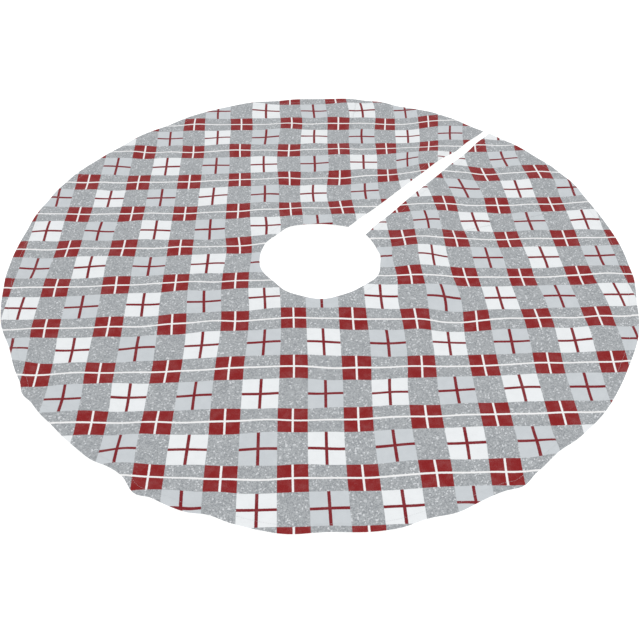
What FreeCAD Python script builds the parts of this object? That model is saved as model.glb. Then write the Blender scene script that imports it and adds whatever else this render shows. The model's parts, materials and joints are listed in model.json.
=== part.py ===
import FreeCAD, Part
import math
import os

# A round fabric tree skirt, lying on the floor. Millimetres and degrees, +Z up.
# The origin is on the floor under the middle of the trunk hole, and the slit runs along +Y.

# Plan
OUTER_DIAMETER = 1117.6
HOLE_DIAMETER = 215.9
SLIT_HALF_GAP_NECK = 18.0
SLIT_HALF_GAP_HEM = 7.0

# Height of the underside above the floor: flat at the hem, then rising to the trunk hole
FLAT_HEM_WIDTH = 45.0
KNEE_RADIUS = 240.0
KNEE_RISE = 8.0
NECK_RISE = 20.0

# Cloth, from the underside up
TAPE_THICKNESS = 0.5
LINING_THICKNESS = 0.4
FACE_THICKNESS = 0.9
TAPE_WIDTH = 16.0

# Sewing
STITCH_INSET = 12.7
THREAD_WIDTH = 0.6
THREAD_HEIGHT = 0.25
TACK_LENGTH = 10.0
TACK_WIDTH = 3.0
TACK_HEIGHT = 0.45
STITCH_GAP = 0.5

# Care label, on the underside beside the right slit tape
LABEL_RADIUS = 300.0
LABEL_LENGTH = 45.0
LABEL_WIDTH = 30.0
LABEL_THICKNESS = 0.3

# The two flaps beside the slit fold back on lines out from the centre
FOLD_ANGLE = 32.0
FOLD_HALF_GAP = 0.15
FOLD_STITCH_GAP = 2.0
FOLD_AXIS_NECK = 24.0
FOLD_AXIS_HEM = 13.0

# Worked out
OUTER_RADIUS = OUTER_DIAMETER / 2
HOLE_RADIUS = HOLE_DIAMETER / 2
FLAT_RADIUS = OUTER_RADIUS - FLAT_HEM_WIDTH
LINING_TOP = TAPE_THICKNESS + LINING_THICKNESS
FACE_TOP = LINING_TOP + FACE_THICKNESS
NECK_STITCH_RADIUS = HOLE_RADIUS + STITCH_INSET
HEM_STITCH_RADIUS = OUTER_RADIUS - STITCH_INSET

# Cutters reach from well inside the hole to well outside the hem, and past both faces
CUT_NEAR = 60.0
CUT_FAR = 800.0
CUT_LOW = -10.0
CUT_HEIGHT = 60.0

X_AXIS = FreeCAD.Vector(1, 0, 0)
Z_AXIS = FreeCAD.Vector(0, 0, 1)
ORIGIN = FreeCAD.Vector(0, 0, 0)


def rise(radius):
    """Height of the underside at a radius: two cones above a flat hem band."""
    if radius >= FLAT_RADIUS:
        return 0.0
    if radius >= KNEE_RADIUS:
        return KNEE_RISE * (FLAT_RADIUS - radius) / (FLAT_RADIUS - KNEE_RADIUS)
    share = (KNEE_RADIUS - radius) / (KNEE_RADIUS - HOLE_RADIUS)
    return KNEE_RISE + (NECK_RISE - KNEE_RISE) * share


def layer(inner, outer, low, high):
    """A full ring of cloth between two radii, between two heights above the underside."""
    radii = [inner] + [r for r in (KNEE_RADIUS, FLAT_RADIUS) if inner < r < outer] + [outer]
    lower = [FreeCAD.Vector(r, 0, rise(r) + low) for r in radii]
    upper = [FreeCAD.Vector(r, 0, rise(r) + high) for r in reversed(radii)]
    profile = Part.Face(Part.makePolygon(lower + upper + lower[:1]))
    return profile.revolve(ORIGIN, Z_AXIS, 360)


def prism(points):
    """An upright cutter over a plan outline."""
    corners = [FreeCAD.Vector(x, y, CUT_LOW) for x, y in points]
    outline = Part.Face(Part.makePolygon(corners + corners[:1]))
    return outline.extrude(FreeCAD.Vector(0, 0, CUT_HEIGHT))


def fold_point(distance, offset):
    """A point along the right fold line, offset to its slit side."""
    angle = math.radians(90 - FOLD_ANGLE)
    x = distance * math.cos(angle) - offset * math.sin(angle)
    y = distance * math.sin(angle) + offset * math.cos(angle)
    return x, y


def slit_point(y, inset):
    """A point beside the right edge of the slit, inset into the cloth."""
    share = (y - HOLE_RADIUS) / (OUTER_RADIUS - HOLE_RADIUS)
    half_gap = SLIT_HALF_GAP_NECK + (SLIT_HALF_GAP_HEM - SLIT_HALF_GAP_NECK) * share
    return half_gap + inset, y


def main_part(ring, fold_inset=FOLD_HALF_GAP):
    """What is left of a ring outside the two flaps."""
    apex = (0, -fold_inset / math.sin(math.radians(FOLD_ANGLE)))
    right = fold_point(CUT_FAR, -fold_inset)
    left = (-right[0], right[1])
    return ring.cut(prism([apex, right, left]))


def flap_part(ring, fold_inset=FOLD_HALF_GAP, slit_inset=0.0):
    """What a ring leaves on the right flap, between the fold line and the slit."""
    near = [slit_point(CUT_NEAR, slit_inset), fold_point(CUT_NEAR, fold_inset)]
    far = [fold_point(CUT_FAR, fold_inset), slit_point(CUT_FAR, slit_inset)]
    return ring.common(prism(near + far))


def slit_strip(ring, inset_low, inset_high, y_low=CUT_NEAR, y_high=CUT_FAR):
    """What a ring leaves on a strip along the right edge of the slit."""
    near = [slit_point(y_low, inset_low), slit_point(y_low, inset_high)]
    far = [slit_point(y_high, inset_high), slit_point(y_high, inset_low)]
    return ring.common(prism(near + far))


def cloth_rings():
    """The cloth layers and tapes that run all the way round."""
    return {
        "face_panel": layer(HOLE_RADIUS, OUTER_RADIUS, LINING_TOP, FACE_TOP),
        "lining_panel": layer(HOLE_RADIUS, OUTER_RADIUS, TAPE_THICKNESS, LINING_TOP),
        "hem_tape": layer(OUTER_RADIUS - TAPE_WIDTH, OUTER_RADIUS, 0, TAPE_THICKNESS),
        "neck_tape": layer(HOLE_RADIUS, HOLE_RADIUS + TAPE_WIDTH, 0, TAPE_THICKNESS),
    }


def stitch_rings():
    """Topstitching that runs all the way round, lying on the face."""
    half = THREAD_WIDTH / 2
    top = FACE_TOP + THREAD_HEIGHT
    return {
        "hem_stitch": layer(HEM_STITCH_RADIUS - half, HEM_STITCH_RADIUS + half, FACE_TOP, top),
        "neck_stitch": layer(NECK_STITCH_RADIUS - half, NECK_STITCH_RADIUS + half, FACE_TOP, top),
    }


def tack_y():
    """Where the slit stitching meets the neck stitching."""
    x = slit_point(HOLE_RADIUS, STITCH_INSET)[0]
    return math.sqrt(NECK_STITCH_RADIUS ** 2 - x ** 2)


def slit_tape():
    """Facing tape along the right slit edge, from the neck tape to the hem tape."""
    band = layer(HOLE_RADIUS + TAPE_WIDTH, OUTER_RADIUS - TAPE_WIDTH, 0, TAPE_THICKNESS)
    return slit_strip(band, 0, TAPE_WIDTH)


def slit_stitch():
    """Topstitching along the right slit edge, from the bar tack to the hem stitching."""
    half = THREAD_WIDTH / 2
    band = layer(HOLE_RADIUS, HEM_STITCH_RADIUS + half, FACE_TOP, FACE_TOP + THREAD_HEIGHT)
    start = tack_y() + TACK_WIDTH / 2 + STITCH_GAP
    return slit_strip(band, STITCH_INSET - half, STITCH_INSET + half, start)


def bar_tack():
    """A dense block of zigzag thread at the right neck corner."""
    band = layer(HOLE_RADIUS, KNEE_RADIUS, FACE_TOP, FACE_TOP + TACK_HEIGHT)
    middle = tack_y()
    inset = STITCH_INSET - TACK_LENGTH / 2
    return slit_strip(band, inset, inset + TACK_LENGTH, middle - TACK_WIDTH / 2, middle + TACK_WIDTH / 2)


def care_label():
    """A blank label flat against the lining, from the slit tape into the right flap."""
    band = layer(KNEE_RADIUS, FLAT_RADIUS, TAPE_THICKNESS - LABEL_THICKNESS, TAPE_THICKNESS)
    low = LABEL_RADIUS - LABEL_WIDTH / 2
    return slit_strip(band, TAPE_WIDTH, TAPE_WIDTH + LABEL_LENGTH, low, low + LABEL_WIDTH)


def mirrored(shape):
    return shape.mirror(ORIGIN, X_AXIS)


def build_nodes():
    nodes = {}
    for name, ring in cloth_rings().items():
        nodes[name] = main_part(ring)
        nodes[name + "_right_flap"] = flap_part(ring)
        nodes[name + "_left_flap"] = mirrored(flap_part(ring))
    slit_inset = {
        "hem_stitch": STITCH_INSET + THREAD_WIDTH / 2 + STITCH_GAP,
        "neck_stitch": STITCH_INSET + TACK_LENGTH / 2 + STITCH_GAP,
    }
    for name, ring in stitch_rings().items():
        flap = flap_part(ring, FOLD_STITCH_GAP, slit_inset[name])
        nodes[name] = main_part(ring, FOLD_STITCH_GAP)
        nodes[name + "_right_flap"] = flap
        nodes[name + "_left_flap"] = mirrored(flap)
    for name, make in (("slit_tape", slit_tape), ("slit_stitch", slit_stitch), ("bar_tack", bar_tack)):
        nodes[name + "_right"] = make()
        nodes[name + "_left"] = mirrored(make())
    nodes["care_label"] = care_label()
    return nodes


def export(nodes):
    os.makedirs("parts", exist_ok=True)
    for name, shape in nodes.items():
        solids = shape.Solids
        node = solids[0] if len(solids) == 1 else Part.makeCompound(solids)
        node.exportStep(os.path.join("parts", name + ".step"))
        print(name, len(solids), "solids", "valid" if node.isValid() else "INVALID", round(node.Volume, 1))


def print_fold_axes():
    """The fold lines as hinge axes. Each lies a little above the cloth, in the middle of its soft roll."""
    for side, sign in (("right", 1), ("left", -1)):
        x, y = fold_point(1, 0)
        neck = FreeCAD.Vector(sign * x * HOLE_RADIUS, y * HOLE_RADIUS, FOLD_AXIS_NECK)
        hem = FreeCAD.Vector(sign * x * OUTER_RADIUS, y * OUTER_RADIUS, FOLD_AXIS_HEM)
        axis = (hem - neck).normalize() * sign
        print(side, "fold at", [round(v / 1000, 6) for v in neck], "along", [round(v, 6) for v in axis])


export(build_nodes())
print_fold_axes()
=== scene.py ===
import json
import math
import random

import bpy
import numpy as np
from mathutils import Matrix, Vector


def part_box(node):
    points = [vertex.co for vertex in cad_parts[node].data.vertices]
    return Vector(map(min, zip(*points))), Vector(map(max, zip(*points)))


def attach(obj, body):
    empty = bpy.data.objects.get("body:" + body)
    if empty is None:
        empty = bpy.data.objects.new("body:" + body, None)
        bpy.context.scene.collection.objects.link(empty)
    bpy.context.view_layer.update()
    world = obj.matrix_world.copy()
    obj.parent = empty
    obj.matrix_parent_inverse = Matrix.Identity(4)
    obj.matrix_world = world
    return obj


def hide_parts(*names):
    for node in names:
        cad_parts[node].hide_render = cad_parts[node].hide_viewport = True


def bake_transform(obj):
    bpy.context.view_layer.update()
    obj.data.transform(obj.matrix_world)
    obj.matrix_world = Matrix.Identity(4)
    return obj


# A printed fabric tree skirt laid on a floor. Metres and degrees, in the CAD model's frame: +Z up,
# the origin on the floor under the trunk hole, and the slit along +Y. Azimuths are counted from +X.

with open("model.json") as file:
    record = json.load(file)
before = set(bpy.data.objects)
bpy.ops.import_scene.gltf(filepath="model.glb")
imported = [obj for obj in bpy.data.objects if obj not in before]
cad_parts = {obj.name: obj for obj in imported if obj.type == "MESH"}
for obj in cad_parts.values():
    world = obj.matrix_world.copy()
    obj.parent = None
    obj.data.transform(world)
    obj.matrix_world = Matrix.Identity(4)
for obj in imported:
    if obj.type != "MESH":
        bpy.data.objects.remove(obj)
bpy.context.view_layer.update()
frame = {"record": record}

# ---------------------------------------------------------------- sizes from the CAD frame
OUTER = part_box("face_panel")[1].x
MOUNTS = {mount["name"]: mount for mount in frame["record"]["mounts"]}
HOLE = MOUNTS["trunk_hole"]["dims"]["r_mm"] / 1000

# ---------------------------------------------------------------- the cut, as in the CAD model
SLIT_HALF_GAP_NECK = 0.0180
SLIT_HALF_GAP_HEM = 0.0070
SLIT_AZIMUTH = 90
FOLD_AZIMUTHS = {"right_flap": 58, "left_flap": 122}

# Cloth thicknesses, from the underside up
TAPE_TOP = 0.0005
LINING_TOP = 0.0009
FACE_TOP = 0.0018
EDGE_RADIUS = FACE_TOP / 2
LIP_WIDTH = 0.0020
TAPE_WIDTH = 0.0160
STITCH_INSET = 0.0127

# Beside a finished edge the face swells a little, and the stitching presses a groove into it
PUFF_HEIGHT = 0.00035
GROOVE_DEPTH = 0.00022
GROOVE_HALF_WIDTH = 0.0022

# Care label: the distance of its middle from the trunk's, its size, how much of it the slit tape
# covers, how far it lies below the top of the tape, and how far its free end droops
LABEL_RADIUS = 0.300
LABEL_LENGTH = 0.045
LABEL_WIDTH = 0.030
LABEL_THICKNESS = 0.0003
LABEL_LAP = 0.0010
LABEL_GAP = 0.0001
LABEL_DROOP = 0.0018

# ---------------------------------------------------------------- the print
# One repeat of the plaid holds a wide and a narrow band. The middle of the skirt is the middle of
# a white square, and the print is turned so that its diagonal lies nearly along the slit.
REPEATS_TO_HEM = 5.4565
REPEAT = OUTER / REPEATS_TO_HEM
PRINT_TURN = 42.7
PRINT_OFFSET = (0.0008, -0.0049)

# Widths in the print, and how soft and how ragged its edges are, as shares of a repeat
WIDE_BAND = 0.55
WHITE_LINE = 0.031
RED_LINE = 0.047
PRINT_SOFTNESS = 0.004
PRINT_RAGGEDNESS = 0.010

# Sizes of the glitter's grains and bright flecks, the random numbers between which a fleck brightens,
# and the spacing of the threads in each cloth
GRAIN_SIZE = 0.0014
FLECK_SIZE = 0.0021
FLECK_LIMITS = (0.50, 0.74)
FACE_WEAVE = 0.0011
LINING_WEAVE = 0.0009
TAPE_RIB = 0.0016
TAPE_SLANT = 1.7
LABEL_WEAVE = 0.0005
THREAD_TWIST = 0.0007

# Colours as a screen shows them
WHITE_CELL = (226, 229, 231)
GREY_CELL = (193, 198, 202)
RED_THIN = (120, 8, 22)
RED_SQUARE = (131, 15, 18)
WHITE_STRIPE = (233, 233, 233)
GLITTER_DARK = (136, 140, 144)
GLITTER_LIGHT = (172, 176, 179)
GLITTER_FLECK = (204, 207, 210)
LINING_LIGHT = (236, 236, 235)
# How dark the lining goes, as a share of its light colour: painted shade between its threads, and a slow
# random tone
LINING_DARKENING = 0.72
TAPE_LIGHT = (236, 236, 234)
# Painted shade in the hollows between the tape's ribs
TAPE_HOLLOW_SHADE = (196, 197, 198)
THREAD_LIGHT = (204, 206, 208)
# Painted shade in the hollows of the thread's twist
THREAD_HOLLOW_SHADE = (168, 171, 174)
LABEL_LIGHT = (240, 240, 238)
LABEL_DARK = (214, 214, 212)

# Colours as a shader takes them
WHITE = (1, 1, 1, 1)
BLACK = (0, 0, 0, 1)
FLOOR_COLOR = (0.80, 0.80, 0.80, 1)

# ---------------------------------------------------------------- how the cloth lies
# Its usual height, the low crown round the trunk hole, and how gently it meets the floor
BASE_HEIGHT = 0.0040
CROWN_HEIGHT = 0.0050
CROWN_WIDTH = 0.13
FLOOR_GAP = 0.0002
FLOOR_SOFTNESS = 0.0012

# Each rise or hollow of the cloth: azimuth and radius where it starts, the same where it ends,
# half its width, and its height at the start and at the end.
RISES = (
    (306, 0.12, 282, 0.27, 0.085, 0.007, 0.004),  # from the neck to the front
    (345, 0.12, 43, 0.19, 0.075, 0.007, 0.007),  # round the neck, right
    (128, 0.09, 134, 0.19, 0.090, -0.003, -0.002),  # low behind the trunk hole
    (235, 0.10, 200, 0.14, 0.080, -0.002, -0.003),  # low to the left of the trunk hole
    (43, 0.19, 76, 0.30, 0.080, 0.005, 0.006),  # on towards the slit
    (88, 0.25, 90, 0.40, 0.085, 0.004, 0.004),  # along both edges of the slit
    (112, 0.43, 111, 0.50, 0.090, -0.003, -0.003),  # hollow, left of the slit
    (9, 0.27, 9, 0.36, 0.080, -0.003, -0.003),  # hollow, near right
    (331, 0.38, 331, 0.42, 0.070, 0.003, 0.003),  # small rise, front right
    (278, 0.45, 278, 0.56, 0.050, 0.003, 0.011),  # hem flute, front left
    (264, 0.46, 264, 0.56, 0.040, 0.002, 0.007),  # hem flute, front left
    (247, 0.50, 247, 0.56, 0.040, 0.001, 0.006),  # hem flute, left
    (295, 0.49, 295, 0.56, 0.034, 0.001, 0.007),  # hem flute, front
    (350, 0.49, 350, 0.56, 0.042, 0.001, 0.006),  # hem flute, front right
)

# Where the cloth is drawn sideways in its own plane, to the right and away in the print's own
# frame: the azimuth and radius of the middle, half the width, and how far each way in millimetres.
# Set one by one, guided by how far the print's crossings lay from those in the photo.
PULLS = (
    (86, 0.49, 0.17, -18, 0),
    (88, 0.37, 0.13, -12, 6),
    (96, 0.40, 0.12, -7, 4),
    (100, 0.27, 0.10, -5, 1),
    (98, 0.50, 0.09, -4, 4),
    (51, 0.37, 0.09, -6, 0),
    (90, 0.33, 0.13, -5, 6),
    (103, 0.20, 0.09, -4, 3),
    (80, 0.36, 0.09, -3, 0),
    (80, 0.13, 0.05, -1, 5),
    (52, 0.17, 0.06, 4, 0),
    (66, 0.47, 0.12, -3, 1),
    (76, 0.53, 0.12, 0, 3),
    (62, 0.32, 0.07, -3, 3),
    (60, 0.16, 0.07, 2, 5),
    (105, 0.10, 0.09, 0, 4),
    (67, 0.40, 0.12, -5, 0),
    (68, 0.30, 0.10, -6, 0),
    (70, 0.22, 0.07, 6, 3),
    (75, 0.21, 0.09, 0, 5),
    (76, 0.55, 0.10, -5, 0),
    (75, 0.55, 0.16, 0, 4),
    (57, 0.54, 0.10, 0, 4),
    (56, 0.26, 0.07, 0, 5),
    (14, 0.21, 0.08, 3, 5),
    (22, 0.26, 0.09, 4, 0),
    (30, 0.38, 0.11, 3, -3),
    (30, 0.52, 0.08, 4, 0),
    (108, 0.47, 0.12, 0, -8),
    (117, 0.52, 0.11, 9, 0),
    (126, 0.48, 0.11, 4, 0),
    (138, 0.46, 0.07, 4, 0),
    (125, 0.44, 0.12, 0, -4),
    (146, 0.55, 0.07, 0, 4),
    (186, 0.41, 0.10, 0, -3),
    (186, 0.28, 0.07, 0, -4),
    (201, 0.56, 0.07, 0, 5),
    (178, 0.13, 0.07, 5, 0),
    (210, 0.14, 0.07, 0, -4),
    (234, 0.26, 0.07, 0, 4),
    (246, 0.55, 0.07, 3, 6),
    (206, 0.56, 0.07, 3, 0),
    (330, 0.56, 0.06, 0, 5),
    (129, 0.20, 0.10, -8, 0),
    (148, 0.33, 0.12, -5, 0),
    (152, 0.54, 0.13, -7, 0),
    (156, 0.42, 0.09, -4, 0),
    (165, 0.52, 0.10, -5, 0),
    (148, 0.56, 0.09, 0, 4),
    (182, 0.56, 0.10, 0, 5),
    (190, 0.56, 0.08, 0, 6),
    (196, 0.45, 0.10, 0, -4),
    (180, 0.36, 0.13, 0, -4),
    (207, 0.28, 0.18, 0, -5),
    (210, 0.15, 0.07, 4, 0),
    (222, 0.14, 0.11, 5, 0),
    (222, 0.40, 0.12, -5, 0),
    (222, 0.46, 0.09, 0, -3),
    (234, 0.48, 0.14, -4, -3),
    (252, 0.54, 0.11, 4, 0),
    (250, 0.23, 0.10, 0, 5),
    (263, 0.31, 0.13, 5, 0),
    (266, 0.50, 0.12, 5, 0),
    (268, 0.25, 0.12, 0, 5),
    (269, 0.52, 0.07, 0, 6),
    (282, 0.54, 0.07, 0, 8),
    (289, 0.56, 0.07, 0, 5),
    (273, 0.19, 0.13, 7, 0),
    (271, 0.14, 0.08, 0, 7),
    (272, 0.37, 0.12, 2, 0),
    (288, 0.52, 0.10, -3, 3),
    (296, 0.26, 0.12, 3, 3),
    (300, 0.47, 0.09, 0, -3),
    (308, 0.20, 0.11, 0, 4),
    (318, 0.31, 0.09, 0, -4),
    (318, 0.45, 0.15, -3, -4),
    (329, 0.38, 0.13, -4, 0),
    (338, 0.32, 0.11, 0, -4),
    (338, 0.56, 0.10, -5, 0),
    (345, 0.25, 0.11, 5, 0),
    (356, 0.35, 0.08, 0, -4),
    (8, 0.29, 0.09, 0, -6),
    (12, 0.27, 0.10, 6, 0),
    (15, 0.40, 0.11, 6, 0),
    (15, 0.46, 0.16, 0, -3),
    (18, 0.20, 0.07, 0, 3),
    (22, 0.17, 0.07, 5, -4),
    (22, 0.53, 0.16, 8, 0),
    (33, 0.22, 0.08, 0, 4),
    (33, 0.37, 0.07, -4, 0),
    (56, 0.42, 0.07, -3, 0),
    (21, 0.56, 0.06, 0, -4),
    (100, 0.37, 0.08, -2, 4),
    (116, 0.30, 0.07, -2, 4),
    (155, 0.55, 0.06, -2, 4),
    (197, 0.45, 0.06, 2, -4),
    (209, 0.42, 0.07, -4, -2),
    (291, 0.55, 0.05, 0, -1),
    (358, 0.22, 0.06, 2, 3),
)

# How far the hem and the edge of the trunk hole lie outside their circles: azimuth, half the width
# in degrees, and millimetres outwards.
HEM_DRAWS = (
    (22, 10, 4),
    (36, 8, 3),
    (68, 10, 4),
    (120, 9, 3),
    (154, 16, 5),
    (197, 18, 5),
    (244, 7, -5),
    (250, 13, -6),
    (255, 3, 5),
    (273, 27, -12),
    (280, 5, -4),
    (283, 3, 7),
    (297, 9, -6),
    (313, 8, -4),
    (327, 5, -5),
    (337, 8, -5),
    (342, 3, 5),
    (351, 12, -7),
    (58, 8, -4),
    (92, 8, -6),
)
NECK_DRAWS = (
    (130, 44, -7),
    (180, 20, -5),
    (259, 30, -8),
    (316, 34, 5),
    (345, 20, 4),
    (14, 28, 8),
    (40, 14, 3),
)

# How far in from an edge it is drawn, how far the slit's edges bow apart halfway along, and how far
# the right one is drawn aside at the trunk hole
DRAW_REACH = 0.045
SLIT_BOW = 0.0023
NECK_FLARE = 0.0070

# Small even ripples: wavelength and height of each, in directions drawn at random
RIPPLES = ((0.140, 0.0006), (0.105, 0.0005), (0.083, 0.0005), (0.066, 0.0003), (0.051, 0.0002))
RIPPLE_SEED = 11

# ---------------------------------------------------------------- mesh steps
# Distances of the first rows from a finished edge, in the face panel and in a tape
EDGE_STEPS = (0, 0.00012, 0.00035, 0.0009, 0.0019, 0.0022,
              0.0055, 0.0085, 0.0112, 0.0127, 0.0142, 0.0165)
TAPE_STEPS = (0.0020, 0.0055, 0.0085, 0.0112, 0.0142, 0.0160)

# Elsewhere: the step between rows, the least room beside an end row, the turn between columns, and
# how much closer a flap's columns lie at the fold line
ROW_STEP = 0.0052
ROW_CLEARANCE = 0.0003
COLUMN_DEGREES = 0.7
FOLD_CROWDING = 1.6
LABEL_ROWS = 9
LABEL_COLUMNS = 16

# Where a sheet is thinner than this, its two sides share their points
THINNEST = 1e-6

# ---------------------------------------------------------------- stitching
# A stitch's size, and how far its middle lies below the top of the face
STITCH_PITCH = 0.0032
STITCH_LENGTH = 0.0025
STITCH_RADIUS = 0.00019
STITCH_SINK = 0.00026
STITCH_SIDES = 5
FEWEST_STITCHES = 3

# A stitch from end to end: the place as a share of its half length, and its girth and its rise out
# of the cloth as shares of its radius
STITCH_PROFILE = ((-1, 0.5, -0.7), (-0.45, 1, 0.5), (0.45, 1, 0.5), (1, 0.5, -0.7))

# The slit's stitching stops short of the bar tack and of the hem's stitching
SLIT_SEAM_START = 0.003
SLIT_SEAM_END = 0.002

# Bar tack: close strands that lean to and fro
TACK_STRANDS = 20
TACK_HALF_LENGTH = 0.0048
TACK_STRAND_LENGTH = 0.0032
TACK_STRAND_RADIUS = 0.00030
TACK_LEAN = 0.18

# ---------------------------------------------------------------- the camera
# How far its line of sight is turned from +Y towards -X, and downwards, and how far away it is from
# the point that it looks at
VIEW_AZIMUTH = 40.86
VIEW_ELEVATION = 45.58
VIEW_DISTANCE = 1.3812
VIEW_POINT = (0.1085, -0.1174, 0.0071)
LENS = 45.93
SENSOR_WIDTH = 36

# ---------------------------------------------------------------- floor and lights
FLOOR_HALF_SIZE = 12.0
FLOOR_ROUGHNESS = 0.9
FLOOR_GLOW = 0.45
WORLD_STRENGTH = 1.0
KEY_PLACE = (2.0, -0.8, 2.6)
KEY_SIZE = 1.6
KEY_POWER = 13
FILL_PLACE = (-1.9, 0.9, 2.6)
FILL_SIZE = 2.4
FILL_POWER = 5


# ================================================================ plan geometry
def direction(azimuth):
    """The unit vector in plan towards an azimuth."""
    angle = math.radians(azimuth)
    return np.array([math.cos(angle), math.sin(angle)])


def half_gap(y):
    """Half the width of the slit at a distance from the middle."""
    share = (y - HOLE) / (OUTER - HOLE)
    return SLIT_HALF_GAP_NECK + (SLIT_HALF_GAP_HEM - SLIT_HALF_GAP_NECK) * share


def hump(distance):
    """1 at 0, falling smoothly to 0 at 1 and beyond."""
    return np.where(distance < 1, 0.5 + 0.5 * np.cos(np.pi * np.minimum(distance, 1)), 0)


def smooth(t):
    """0 up to 0 and 1 from 1 on, with a smooth rise between."""
    t = np.clip(t, 0, 1)
    return t * t * (3 - 2 * t)


def ripple_height(x, y):
    """Two small waves of each length, crossing at random."""
    draw = random.Random(RIPPLE_SEED)
    total = np.zeros_like(x)
    for wavelength, amplitude in RIPPLES:
        for _ in range(2):
            across = direction(draw.uniform(0, 180))
            phase = draw.uniform(0, 2 * math.pi)
            along = x * across[0] + y * across[1]
            total += amplitude * np.sin(2 * math.pi * along / wavelength + phase)
    return total


def height(x, y):
    """Height of the skirt's underside above the floor at a place in plan."""
    radius = np.hypot(x, y)
    z = BASE_HEIGHT + CROWN_HEIGHT * hump((radius - HOLE) / CROWN_WIDTH) + ripple_height(x, y)
    for azimuth_a, radius_a, azimuth_b, radius_b, width, height_a, height_b in RISES:
        start = direction(azimuth_a) * radius_a
        run = direction(azimuth_b) * radius_b - start
        t = np.clip(((x - start[0]) * run[0] + (y - start[1]) * run[1]) / (run @ run), 0, 1)
        away = np.hypot(x - start[0] - t * run[0], y - start[1] - t * run[1])
        z += (height_a + (height_b - height_a) * smooth(t)) * hump(away / width)
    return FLOOR_GAP + (z + np.sqrt(z * z + FLOOR_SOFTNESS**2)) / 2


def edge_draw(azimuth, draws):
    """How far an edge lies outside its circle at an azimuth, in metres."""
    total = np.zeros_like(azimuth)
    for middle, width, distance in draws:
        turn = np.abs((azimuth - middle + 180) % 360 - 180)
        total += distance / 1000 * hump(turn / width)
    return total


def drawn(x, y):
    """Where a place of the cut cloth lies in plan, with its edges drawn in, out and apart."""
    radius = np.hypot(x, y)
    azimuth = np.degrees(np.arctan2(y, x))
    out = edge_draw(azimuth, HEM_DRAWS) * hump((OUTER - radius) / DRAW_REACH)
    out += edge_draw(azimuth, NECK_DRAWS) * hump((radius - HOLE) / DRAW_REACH)
    share = np.clip((radius - HOLE) / (OUTER - HOLE), 0, 1)
    apart = SLIT_BOW * np.sin(math.pi * share)
    apart += NECK_FLARE * hump((radius - HOLE) / DRAW_REACH) * (x > 0)
    apart *= hump(np.abs(x) / DRAW_REACH) * (y > 0)
    return x * (1 + out / radius) + np.sign(x) * apart, y * (1 + out / radius)


def print_place(x, y):
    """The place in the print, in metres from the middle of the central white square."""
    right, back = direction(PRINT_TURN), direction(PRINT_TURN + 90)
    across = x * right[0] + y * right[1] - PRINT_OFFSET[0]
    away = x * back[0] + y * back[1] - PRINT_OFFSET[1]
    for azimuth, radius, width, to_right, to_back in PULLS:
        middle = direction(azimuth) * radius
        share = hump(np.hypot(x - middle[0], y - middle[1]) / width)
        across = across - to_right / 1000 * share
        away = away - to_back / 1000 * share
    return across, away


# ================================================================ grids of plan points
def stations(length, step):
    """Distances across a panel, close together beside both finished edges."""
    low = list(EDGE_STEPS)
    high = [length - s for s in reversed(EDGE_STEPS)]
    count = round((high[0] - low[-1]) / step)
    middle = [low[-1] + (high[0] - low[-1]) * k / count for k in range(1, count)]
    return np.array(low + middle + high)


def rows(low, high):
    """The face panel's rows between two radii, with a row at each end."""
    radii = HOLE + stations(OUTER - HOLE, ROW_STEP)
    inside = radii[(radii > low + ROW_CLEARANCE) & (radii < high - ROW_CLEARANCE)]
    return np.concatenate([[low], inside, [high]])


def main_grid(radii, degrees):
    """Plan points of the main panel. Its first and last columns lie on the two fold lines."""
    start = FOLD_AZIMUTHS["left_flap"]
    turn = 360 - start + FOLD_AZIMUTHS["right_flap"]
    count = round(turn / degrees)
    azimuths = np.radians(start + turn * np.arange(count + 1) / count)
    radius, azimuth = np.meshgrid(radii, azimuths, indexing="ij")
    return radius * np.cos(azimuth), radius * np.sin(azimuth)


def flap_grid(side, radii, insets, columns):
    """Plan points of a flap: columns along the slit's edge, then on to the fold line, closest there."""
    insets = np.asarray(insets, float)
    turn = np.arcsin((half_gap(radii)[:, None] + insets) / radii[:, None])
    if columns:
        fold = math.radians(SLIT_AZIMUTH - FOLD_AZIMUTHS["right_flap"])
        share = 1 - (1 - np.arange(1, columns + 1) / columns) ** FOLD_CROWDING
        turn = np.concatenate([turn, turn[:, -1:] + (fold - turn[:, -1:]) * share], axis=1)
    sign = 1 if side == "right_flap" else -1
    return sign * radii[:, None] * np.sin(turn), radii[:, None] * np.cos(turn)


def panel_grid(body, radii, insets, degrees):
    """Plan points of the main panel or of a flap, with columns at about the given turn."""
    if body == "skirt":
        return main_grid(radii, degrees)
    span = SLIT_AZIMUTH - FOLD_AZIMUTHS["right_flap"]
    return flap_grid(body, radii, insets, round(span / degrees))


def edge_distance(body, x, y):
    """Distance in plan from the nearest finished edge, rounded so that it is 0 on the edge itself."""
    radius = np.hypot(x, y)
    distance = np.minimum(radius - HOLE, OUTER - radius)
    if body != "skirt":
        distance = np.minimum(distance, np.abs(x) - half_gap(radius))
    return np.round(np.maximum(distance, 0), 7)


# ================================================================ meshes
def new_object(name, vertices, faces, cut=None):
    """A smooth mesh object. Cloth also keeps each point's place in the print, as the attribute "cut"."""
    mesh = bpy.data.meshes.new(name)
    mesh.from_pydata(vertices.tolist(), [], faces)
    if cut is not None:
        layer = mesh.attributes.new("cut", "FLOAT_VECTOR", "POINT")
        layer.data.foreach_set("vector", np.asarray(cut, np.float32).ravel())
    mesh.polygons.foreach_set("use_smooth", np.ones(len(mesh.polygons), bool))
    mesh.update()
    piece = bpy.data.objects.new(name, mesh)
    bpy.context.scene.collection.objects.link(piece)
    return piece


def grid_faces(index, flip):
    """The four-sided faces of a grid of point numbers."""
    corners = [index[:-1, :-1], index[1:, :-1], index[1:, 1:], index[:-1, 1:]]
    quads = np.stack([c.ravel() for c in corners], axis=1)
    return quads[:, ::-1] if flip else quads


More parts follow.
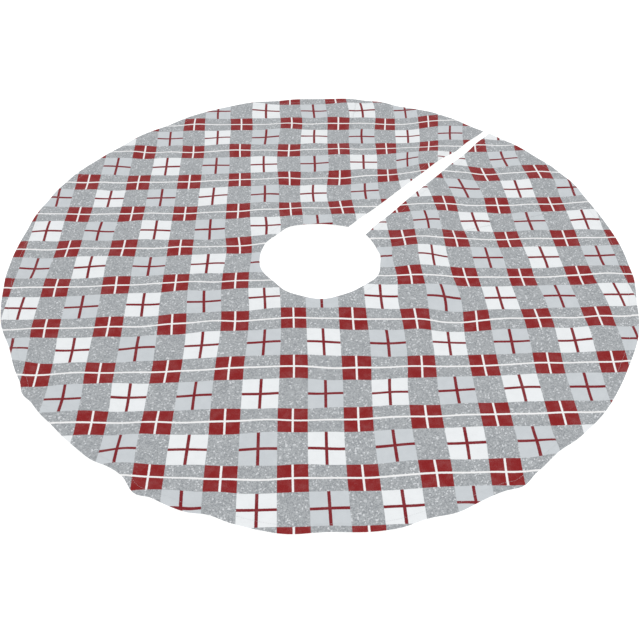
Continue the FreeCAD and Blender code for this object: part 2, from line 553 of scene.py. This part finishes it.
def border_faces(top, bottom, flip):
    """Walls between the borders of two grids, left out where the grids share their points."""

    def rim(grid):
        return np.concatenate([grid[:-1, 0], grid[-1, :-1], grid[:0:-1, -1], grid[0, :0:-1]])

    over, under = rim(top), rim(bottom)
    faces = []
    for a, b, c, d in zip(over, under, np.roll(under, -1), np.roll(over, -1)):
        loop = list(dict.fromkeys((int(a), int(b), int(c), int(d))))
        if len(loop) > 2:
            faces.append(loop[::-1] if flip else loop)
    return faces


def shell(name, x, y, low, high):
    """A closed sheet over plan points, between two heights above the skirt's underside."""
    x, y = drawn(x, y)
    base = height(x, y)
    apart = high - low >= THINNEST
    top = np.arange(x.size).reshape(x.shape)
    bottom = top.copy()
    bottom[apart] = x.size + np.arange(np.count_nonzero(apart))
    points = np.concatenate([
        np.stack([x.ravel(), y.ravel(), (base + high).ravel()], axis=1),
        np.stack([x[apart], y[apart], (base + low)[apart]], axis=1),
    ])
    across, away = print_place(x, y)
    cut = np.stack([across, away, np.zeros_like(across)], axis=-1)
    cut = np.concatenate([cut.reshape(-1, 3), cut[apart]])
    row = (x[1, 0] - x[0, 0], y[1, 0] - y[0, 0])
    column = (x[0, 1] - x[0, 0], y[0, 1] - y[0, 0])
    flip = row[0] * column[1] - row[1] * column[0] < 0
    faces = grid_faces(top, flip).tolist() + grid_faces(bottom, not flip).tolist()
    return new_object(name, points, faces + border_faces(top, bottom, flip), cut)


def stitches(name, places, along, ups, length, radius):
    """A run of short thread bars that dive into the cloth at both ends."""
    profile = np.array(STITCH_PROFILE) * (length / 2, radius, radius)
    aside = np.cross(ups, along)
    turns = 2 * math.pi * np.arange(STITCH_SIDES) / STITCH_SIDES
    rings = []
    for reach, girth, lift in profile:
        for turn in turns:
            out = lift + girth * math.sin(turn)
            rings.append(places + along * reach + aside * girth * math.cos(turn) + ups * out)
    for reach, _, lift in (profile[0], profile[-1]):
        rings.append(places + along * reach + ups * lift)
    points = np.stack(rings, axis=1)
    each = points.shape[1]
    last = (len(profile) - 1) * STITCH_SIDES
    faces = []
    for start in range(0, last, STITCH_SIDES):
        for side in range(STITCH_SIDES):
            a, b = start + side, start + (side + 1) % STITCH_SIDES
            faces.append([a, a + STITCH_SIDES, b + STITCH_SIDES, b])
    for side in range(STITCH_SIDES):
        following = (side + 1) % STITCH_SIDES
        faces.append([each - 2, side, following])
        faces.append([each - 1, last + following, last + side])
    starts = np.arange(len(places)) * each
    all_faces = [[int(start) + v for v in face] for start in starts for face in faces]
    return new_object(name, points.reshape(-1, 3), all_faces)


# ================================================================ the pieces
def face_heights(edge):
    """Heights of the face panel's two sides, rolled over at the edge and pressed in by the stitching."""
    roll = np.sqrt(np.maximum(EDGE_RADIUS**2 - np.maximum(EDGE_RADIUS - edge, 0) ** 2, 0))
    share = np.clip((edge - EDGE_RADIUS) / (STITCH_INSET - EDGE_RADIUS), 0, 1)
    puff = PUFF_HEIGHT * np.sin(math.pi * share)
    groove = GROOVE_DEPTH * hump(np.abs(edge - STITCH_INSET) / GROOVE_HALF_WIDTH)
    high = EDGE_RADIUS + roll + puff - groove
    low = np.where(edge > LIP_WIDTH, LINING_TOP, EDGE_RADIUS - roll)
    return low, high


def make_face(name, body):
    radii = HOLE + stations(OUTER - HOLE, ROW_STEP)
    x, y = panel_grid(body, radii, EDGE_STEPS, COLUMN_DEGREES)
    low, high = face_heights(edge_distance(body, x, y))
    return shell(name, x, y, low, high)


def flat_piece(name, x, y, low, high):
    """A sheet of even thickness."""
    return shell(name, x, y, np.full_like(x, low), np.full_like(x, high))


def make_lining(name, body):
    radii = rows(HOLE + LIP_WIDTH, OUTER - LIP_WIDTH)
    x, y = panel_grid(body, radii, TAPE_STEPS + EDGE_STEPS[-1:], COLUMN_DEGREES)
    return flat_piece(name, x, y, TAPE_TOP, LINING_TOP)


def make_ring_tape(name, body):
    if name.startswith("neck"):
        radii = rows(HOLE + LIP_WIDTH, HOLE + TAPE_WIDTH)
    else:
        radii = rows(OUTER - TAPE_WIDTH, OUTER - LIP_WIDTH)
    x, y = panel_grid(body, radii, TAPE_STEPS + EDGE_STEPS[-1:], COLUMN_DEGREES)
    return flat_piece(name, x, y, 0, TAPE_TOP)


def make_slit_tape(name, body):
    radii = rows(HOLE + TAPE_WIDTH, OUTER - TAPE_WIDTH)
    x, y = flap_grid(body, radii, TAPE_STEPS, 0)
    return flat_piece(name, x, y, 0, TAPE_TOP)


def make_label(name, body):
    """A blank ribbon along the lining, from under the slit tape to its free end."""
    radii = np.linspace(LABEL_RADIUS - LABEL_WIDTH / 2, LABEL_RADIUS + LABEL_WIDTH / 2, LABEL_ROWS)
    start = TAPE_WIDTH - LABEL_LAP
    x, y = flap_grid(body, radii, np.linspace(start, start + LABEL_LENGTH, LABEL_COLUMNS), 0)
    edge = edge_distance(body, x, y)
    droop = LABEL_DROOP * ((edge - edge.min()) / LABEL_LENGTH) ** 2
    high = TAPE_TOP - LABEL_GAP - droop
    return shell(name, x, y, high - LABEL_THICKNESS, high)


def surface_point(x, y, offset):
    """The point at an offset above the skirt's underside, over a place of the cut cloth."""
    x, y = drawn(x, y)
    return np.stack([x, y, height(x, y) + offset], axis=-1)


def thread_run(name, x, y, length=STITCH_LENGTH, radius=STITCH_RADIUS, along=None):
    """Stitches at plan places, on the face and again on the underside."""
    top, under = surface_point(x, y, FACE_TOP - STITCH_SINK), surface_point(x, y, 0.0)
    if along is None:
        along = np.gradient(top, axis=0)
    along = along / np.linalg.norm(along, axis=1, keepdims=True)
    ups = np.zeros_like(top)
    ups[:, 2] = 1
    places = np.concatenate([top, under])
    along = np.concatenate([along, along])
    return stitches(name, places, along, np.concatenate([ups, -ups]), length, radius)


def make_ring_stitch(name, body):
    radius = HOLE + STITCH_INSET if name.startswith("neck") else OUTER - STITCH_INSET
    clear = 0.5 * STITCH_PITCH / radius
    if body == "skirt":
        low = math.radians(FOLD_AZIMUTHS["left_flap"]) + clear
        high = math.radians(360 + FOLD_AZIMUTHS["right_flap"]) - clear
    else:
        slit = math.asin((float(half_gap(radius)) + STITCH_INSET) / radius)
        fold = math.radians(SLIT_AZIMUTH - FOLD_AZIMUTHS["right_flap"])
        low, high = slit + clear, fold - clear
    count = max(FEWEST_STITCHES, round((high - low) * radius / STITCH_PITCH))
    turn = low + (high - low) * np.arange(count + 1) / count
    if body == "skirt":
        return thread_run(name, radius * np.cos(turn), radius * np.sin(turn))
    sign = 1 if body == "right_flap" else -1
    return thread_run(name, sign * radius * np.sin(turn), radius * np.cos(turn))


def make_slit_stitch(name, body):
    low = HOLE + STITCH_INSET + SLIT_SEAM_START
    high = OUTER - STITCH_INSET - SLIT_SEAM_END
    radii = np.linspace(low, high, round((high - low) / STITCH_PITCH))
    x, y = flap_grid(body, radii, [STITCH_INSET], 0)
    return thread_run(name, x[:, 0], y[:, 0])


def make_bar_tack(name, body):
    """Close strands across the corner where the slit stitching meets the neck stitching."""
    radius = HOLE + STITCH_INSET
    insets = STITCH_INSET + np.linspace(-TACK_HALF_LENGTH, TACK_HALF_LENGTH, TACK_STRANDS)
    x, y = flap_grid(body, np.array([radius]), insets, 0)
    lean = TACK_LEAN * np.resize([1, -1], TACK_STRANDS)
    along = np.stack([lean, np.ones_like(lean), np.zeros_like(lean)], axis=1)
    return thread_run(name, x[0], y[0], TACK_STRAND_LENGTH, TACK_STRAND_RADIUS, along)


# ================================================================ materials
class Nodes:
    """Short helpers for building a node material."""

    def __init__(self, name):
        self.material = bpy.data.materials.new(name)
        self.material.use_nodes = True
        self.tree = self.material.node_tree
        self.shader = self.tree.nodes["Principled BSDF"]

    def add(self, kind, **settings):
        node = self.tree.nodes.new(kind)
        for key, value in settings.items():
            setattr(node, key, value)
        return node

    def link(self, value, socket):
        if isinstance(value, bpy.types.NodeSocket):
            self.tree.links.new(value, socket)
        else:
            socket.default_value = value

    def maths(self, operation, *values, clamp=False):
        node = self.add("ShaderNodeMath", operation=operation, use_clamp=clamp)
        for value, socket in zip(values, node.inputs):
            self.link(value, socket)
        return node.outputs[0]

    def ramp(self, value, low, high, to_low=0.0, to_high=1.0):
        """A smooth change from to_low to to_high, while the value goes from low to high."""
        node = self.add("ShaderNodeMapRange", interpolation_type="SMOOTHSTEP")
        for number, item in enumerate((value, low, high, to_low, to_high)):
            self.link(item, node.inputs[number])
        return node.outputs[0]

    def inverse(self, value):
        return self.maths("SUBTRACT", 1, value)

    def mix(self, share, first, second):
        node = self.add("ShaderNodeMix", data_type="RGBA")
        self.link(share, node.inputs[0])
        self.link(first, node.inputs[6])
        self.link(second, node.inputs[7])
        return node.outputs[2]

    def noise(self, place, scale, detail=2.0, roughness=0.5):
        node = self.add("ShaderNodeTexNoise")
        self.link(place, node.inputs["Vector"])
        node.inputs["Scale"].default_value = scale
        node.inputs["Detail"].default_value = detail
        node.inputs["Roughness"].default_value = roughness
        return node.outputs["Fac"]

    def grains(self, place, size):
        """Two random numbers for each small cell of the surface."""
        node = self.add("ShaderNodeTexVoronoi", feature="F1")
        self.link(place, node.inputs["Vector"])
        node.inputs["Scale"].default_value = 1 / size
        parts = self.add("ShaderNodeSeparateColor")
        self.link(node.outputs["Color"], parts.inputs[0])
        return parts.outputs[0], parts.outputs[1]

    def cut(self):
        """The place in the print, as a vector and as its two distances."""
        place = self.add("ShaderNodeAttribute", attribute_name="cut").outputs["Vector"]
        across, away, _ = self.split(place)
        return place, across, away

    def split(self, vector):
        """A vector's three numbers."""
        node = self.add("ShaderNodeSeparateXYZ")
        self.link(vector, node.inputs[0])
        return node.outputs

    def wave(self, distance, pitch):
        """A sine along a distance."""
        return self.maths("SINE", self.maths("MULTIPLY", distance, 2 * math.pi / pitch))

    def weave(self, across, away, pitch):
        """Plain weave: 1 on top of a thread's crossing and 0 between threads."""
        first, second = self.wave(across, pitch), self.wave(away, pitch)
        return self.maths("MULTIPLY_ADD", self.maths("MULTIPLY", first, second), 0.5, 0.5)

    def bump(self, height_value, distance, strength=1.0):
        node = self.add("ShaderNodeBump")
        self.link(height_value, node.inputs["Height"])
        node.inputs["Distance"].default_value = distance
        node.inputs["Strength"].default_value = strength
        self.tree.links.new(node.outputs["Normal"], self.shader.inputs["Normal"])

    def surface(self, color, roughness, sheen=0.0, sheen_roughness=0.5, gloss=0.25):
        """Sets the shader's own values, and gives the finished material."""
        self.link(color, self.shader.inputs["Base Color"])
        self.link(roughness, self.shader.inputs["Roughness"])
        self.shader.inputs["Sheen Weight"].default_value = sheen
        self.shader.inputs["Sheen Roughness"].default_value = sheen_roughness
        self.shader.inputs["Specular IOR Level"].default_value = gloss
        return self.material


def linear(red, green, blue):
    """A colour given as a screen shows it, for a shader."""
    values = []
    for value in (red, green, blue):
        v = value / 255
        values.append(v / 12.92 if v <= 0.04045 else ((v + 0.055) / 1.055) ** 2.4)
    return (*values, 1.0)


def glitter_print(nodes, place, grain):
    """Fine light and dark grains, with brighter flecks strewn among them."""
    fleck, size = nodes.grains(place, FLECK_SIZE)
    grains = nodes.mix(nodes.ramp(grain, 0.0, 1.0), linear(*GLITTER_DARK), linear(*GLITTER_LIGHT))
    bright = nodes.ramp(nodes.maths("MULTIPLY", fleck, size), *FLECK_LIMITS)
    return nodes.mix(bright, grains, linear(*GLITTER_FLECK))


def plaid(nodes, place, across, away, grain):
    """The print's colour, and how far a point lies in its glitter."""
    unevenness = nodes.maths("SUBTRACT", nodes.noise(place, scale=420), 0.5)
    ragged = nodes.maths("MULTIPLY", unevenness, PRINT_RAGGEDNESS)

    def folded(value):
        """Distance, in repeats, from the middle of the nearest wide band, and that band's number."""
        repeats = nodes.maths("DIVIDE", value, REPEAT)
        number = nodes.maths("ROUND", repeats)
        away_from = nodes.maths("ABSOLUTE", nodes.maths("SUBTRACT", repeats, number))
        return nodes.maths("ADD", away_from, ragged), number

    def within(distance, limit):
        """1 up to a limit and 0 beyond it, with a soft edge."""
        return nodes.ramp(distance, limit + PRINT_SOFTNESS, limit - PRINT_SOFTNESS)

    def beyond(distance, limit):
        """0 up to a limit and 1 beyond it, with a soft edge."""
        return nodes.ramp(distance, limit - PRINT_SOFTNESS, limit + PRINT_SOFTNESS)

    u, column = folded(across)
    v, row = folded(away)
    wide_u, wide_v = within(u, WIDE_BAND / 2), within(v, WIDE_BAND / 2)
    both_wide = nodes.maths("MULTIPLY", wide_u, wide_v)
    both_narrow = nodes.maths("MULTIPLY", nodes.inverse(wide_u), nodes.inverse(wide_v))

    odd = nodes.maths("PINGPONG", nodes.maths("ADD", column, row), 1.0)
    red_lines = nodes.maths("MAXIMUM", within(u, RED_LINE / 2), within(v, RED_LINE / 2))
    square = nodes.mix(odd, linear(*WHITE_CELL), linear(*GREY_CELL))
    square = nodes.mix(red_lines, square, linear(*RED_THIN))

    # One way the white line crosses the red squares only. The other way it runs on through the glitter.
    stripe = 0.5 - WHITE_LINE / 2
    short_lines = nodes.maths("MULTIPLY", beyond(u, stripe), both_narrow)
    long_lines = nodes.maths("MULTIPLY", beyond(v, stripe), nodes.inverse(wide_v))
    white_lines = nodes.maths("MAXIMUM", short_lines, long_lines)

    tint = nodes.mix(both_wide, glitter_print(nodes, place, grain), square)
    tint = nodes.mix(both_narrow, tint, linear(*RED_SQUARE))
    tint = nodes.mix(white_lines, tint, linear(*WHITE_STRIPE))
    plain = nodes.maths("MAXIMUM", nodes.maths("ADD", both_wide, both_narrow), white_lines)
    return tint, nodes.maths("SUBTRACT", 1, plain, clamp=True)


def print_cloth():
    """Brushed polyester: the plaid, a fine weave with painted light and shade, a soft mottle, and a
    little shine in the glitter.
    """
    nodes = Nodes("print_cloth")
    place, across, away = nodes.cut()
    grain, shade = nodes.grains(place, GRAIN_SIZE)
    tint, glittery = plaid(nodes, place, across, away, grain)
    weave = nodes.weave(across, away, FACE_WEAVE)
    mottle = nodes.noise(place, scale=60, detail=4.0, roughness=0.6)
    fuzz = nodes.noise(place, scale=900, detail=3.0, roughness=0.7)

    tone = nodes.ramp(mottle, 0.25, 0.75, to_low=-0.035, to_high=0.035)
    tone = nodes.maths("ADD", tone, nodes.ramp(fuzz, 0.2, 0.8, to_low=-0.06, to_high=0.06))
    # Lighter on the threads' crossings and darker between them: painted light and shade of the weave.
    # The mottle and the fuzz are random tone.
    tone = nodes.maths("ADD", tone, nodes.ramp(weave, 0, 1, to_low=-0.03, to_high=0.03))
    lighter = nodes.maths("MAXIMUM", tone, 0)
    darker = nodes.maths("MAXIMUM", nodes.maths("MULTIPLY", tone, -1), 0)
    tint = nodes.mix(lighter, tint, WHITE)
    tint = nodes.mix(darker, tint, BLACK)

    shine = nodes.maths("MULTIPLY", glittery, nodes.ramp(shade, 0.0, 1.0, to_low=0.10, to_high=0.45))
    rough = nodes.maths("SUBTRACT", 0.88, shine)
    relief = nodes.maths("MULTIPLY_ADD", weave, 0.5, nodes.maths("MULTIPLY", fuzz, 0.5))
    raised = nodes.maths("MULTIPLY", glittery, nodes.maths("MULTIPLY", grain, 0.8))
    nodes.bump(nodes.maths("ADD", relief, raised), distance=0.00018, strength=0.8)
    return nodes.surface(tint, rough, sheen=0.12, sheen_roughness=0.45)


def lining_cloth():
    """Plain white cloth: threads both ways with painted shade between them, and a slow change of tone.
    """
    nodes = Nodes("lining_cloth")
    place, across, away = nodes.cut()
    weave = nodes.weave(across, away, LINING_WEAVE)
    slow = nodes.noise(place, scale=35, detail=3.0, roughness=0.6)
    fine = nodes.noise(place, scale=1300, detail=2.0, roughness=0.6)
    # Darker between the threads: painted shade. The slow change of tone added to it is random.
    tone = nodes.ramp(weave, 0, 1, to_low=0.22, to_high=0)
    tone = nodes.maths("ADD", tone, nodes.ramp(slow, 0.3, 0.7, to_low=0.22, to_high=0))
    light = linear(*LINING_LIGHT)
    dark = tuple(LINING_DARKENING * value for value in light[:3]) + (1.0,)
    nodes.bump(nodes.maths("MULTIPLY_ADD", fine, 0.4, weave), distance=0.00012)
    rough = nodes.ramp(fine, 0.2, 0.8, to_low=0.80, to_high=0.95)
    return nodes.surface(nodes.mix(tone, light, dark), rough, sheen=0.10)


def twill_tape():
    """White tape with slanting ribs, and painted shade in the hollows between them."""
    nodes = Nodes("twill_tape")
    place, across, away = nodes.cut()
    slant = nodes.maths("ADD", across, nodes.maths("MULTIPLY", away, TAPE_SLANT))
    ribs = nodes.wave(slant, TAPE_RIB)
    fine = nodes.noise(place, scale=1500, detail=2.0, roughness=0.6)
    # Greyer in the hollows between the ribs: painted shade
    hollow = nodes.ramp(ribs, -1, 1, to_low=0.3, to_high=0)
    tint = nodes.mix(hollow, linear(*TAPE_LIGHT), linear(*TAPE_HOLLOW_SHADE))
    nodes.bump(nodes.maths("MULTIPLY_ADD", ribs, 0.5, fine), distance=0.00015)
    rough = nodes.ramp(fine, 0.2, 0.8, to_low=0.75, to_high=0.9)
    return nodes.surface(tint, rough, sheen=0.1)


def sewing_thread():
    """Pale grey thread with a close twist, and painted shade in the hollows of the twist."""
    nodes = Nodes("thread")
    coordinates = nodes.add("ShaderNodeTexCoord").outputs["Object"]
    across, away, up = nodes.split(coordinates)
    total = nodes.maths("ADD", nodes.maths("ADD", across, away), up)
    twist = nodes.wave(total, THREAD_TWIST)
    fine = nodes.noise(coordinates, scale=2500, detail=2.0, roughness=0.6)
    # Darker in the hollows of the twist: painted shade
    hollow = nodes.ramp(twist, -1, 1, to_low=0.5, to_high=0)
    tint = nodes.mix(hollow, linear(*THREAD_LIGHT), linear(*THREAD_HOLLOW_SHADE))
    nodes.bump(nodes.maths("MULTIPLY_ADD", fine, 0.3, twist), distance=0.00006)
    rough = nodes.ramp(fine, 0.2, 0.8, to_low=0.5, to_high=0.7)
    return nodes.surface(tint, rough, sheen=0.05)


def label_satin():
    """White ribbon with a close rib across it and a soft gloss."""
    nodes = Nodes("label_satin")
    place, _, away = nodes.cut()
    fine = nodes.noise(place, scale=1800, detail=2.0, roughness=0.5)
    share = nodes.ramp(fine, 0.3, 0.7, to_low=0, to_high=0.25)
    tint = nodes.mix(share, linear(*LABEL_LIGHT), linear(*LABEL_DARK))
    nodes.bump(nodes.wave(away, LABEL_WEAVE), distance=0.00005)
    return nodes.surface(tint, nodes.ramp(fine, 0.2, 0.8, to_low=0.32, to_high=0.45))


# ================================================================ building it
PRINT_CLOTH = print_cloth()
LINING_CLOTH = lining_cloth()
TAPE_CLOTH = twill_tape()
THREAD = sewing_thread()
LABEL_SATIN = label_satin()

# What a piece's name ends in, on each body
BODIES = {"": "skirt", "_left": "left_flap", "_right": "right_flap"}


def place_piece(piece, body, node, material):
    """Gives a piece its material, and hangs a piece of the main panel on its body. A flap's piece has
    its place baked into its points.
    """
    piece.data.materials.append(material)
    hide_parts(node)
    if body == "skirt":
        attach(piece, body)
        return
    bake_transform(piece)


for suffix, body in BODIES.items():
    node_suffix = "" if body == "skirt" else "_" + body

    face = make_face("face_cloth" + suffix, body)
    place_piece(face, body, "face_panel" + node_suffix, PRINT_CLOTH)
    lining = make_lining("lining_cloth" + suffix, body)
    place_piece(lining, body, "lining_panel" + node_suffix, LINING_CLOTH)

    for edge_name, radius in (("hem", OUTER), ("neck", HOLE)):
        tape = make_ring_tape(edge_name + "_binding" + suffix, body)
        place_piece(tape, body, edge_name + "_tape" + node_suffix, TAPE_CLOTH)
        seam = make_ring_stitch(edge_name + "_seam" + suffix, body)
        place_piece(seam, body, edge_name + "_stitch" + node_suffix, THREAD)

for side in ("left", "right"):
    body = side + "_flap"
    tape = make_slit_tape("slit_binding_" + side, body)
    place_piece(tape, body, "slit_tape_" + side, TAPE_CLOTH)
    seam = make_slit_stitch("slit_seam_" + side, body)
    place_piece(seam, body, "slit_stitch_" + side, THREAD)
    tack = make_bar_tack("corner_tack_" + side, body)
    place_piece(tack, body, "bar_tack_" + side, THREAD)

label = make_label("sewn_label", "right_flap")
place_piece(label, "right_flap", "care_label", LABEL_SATIN)


# ================================================================ floor, lights and camera
def make_floor():
    """A wide pale floor, which gives off a little light of its own."""
    size = FLOOR_HALF_SIZE
    vertices = [(-size, -size, 0), (size, -size, 0), (size, size, 0), (-size, size, 0)]
    mesh = bpy.data.meshes.new("floor")
    mesh.from_pydata(vertices, [], [(0, 1, 2, 3)])
    floor = bpy.data.objects.new("floor", mesh)
    bpy.context.scene.collection.objects.link(floor)
    nodes = Nodes("floor_paint")
    nodes.surface(FLOOR_COLOR, FLOOR_ROUGHNESS, gloss=0.0)
    nodes.shader.inputs["Emission Color"].default_value = WHITE
    nodes.shader.inputs["Emission Strength"].default_value = FLOOR_GLOW
    mesh.materials.append(nodes.material)


def make_light(name, place, size, power):
    """A soft round light, turned to the middle of the skirt."""
    data = bpy.data.lights.new(name, "AREA")
    data.shape = "DISK"
    data.size = size
    data.energy = power
    lamp = bpy.data.objects.new(name, data)
    lamp.location = place
    lamp.rotation_euler = (-Vector(place)).to_track_quat("-Z", "Y").to_euler()
    bpy.context.scene.collection.objects.link(lamp)


def make_world():
    world = bpy.data.worlds.new("studio")
    world.use_nodes = True
    back = world.node_tree.nodes["Background"]
    back.inputs["Color"].default_value = WHITE
    back.inputs["Strength"].default_value = WORLD_STRENGTH
    bpy.context.scene.world = world


def make_camera():
    """The photo's view."""
    data = bpy.data.cameras.new("camera")
    data.lens = LENS
    data.sensor_width = SENSOR_WIDTH
    data.clip_end = 50
    camera = bpy.data.objects.new("camera", data)
    azimuth, elevation = math.radians(90 + VIEW_AZIMUTH), math.radians(VIEW_ELEVATION)
    flat = Vector((math.cos(azimuth), math.sin(azimuth), 0))
    look = flat * math.cos(elevation) - Vector((0, 0, math.sin(elevation)))
    camera.location = Vector(VIEW_POINT) - look * VIEW_DISTANCE
    camera.rotation_euler = look.to_track_quat("-Z", "Y").to_euler()
    bpy.context.scene.collection.objects.link(camera)
    bpy.context.scene.camera = camera


make_floor()
make_light("key", KEY_PLACE, KEY_SIZE, KEY_POWER)
make_light("fill", FILL_PLACE, FILL_SIZE, FILL_POWER)
make_world()
make_camera()
bpy.context.scene.view_settings.view_transform = "Standard"
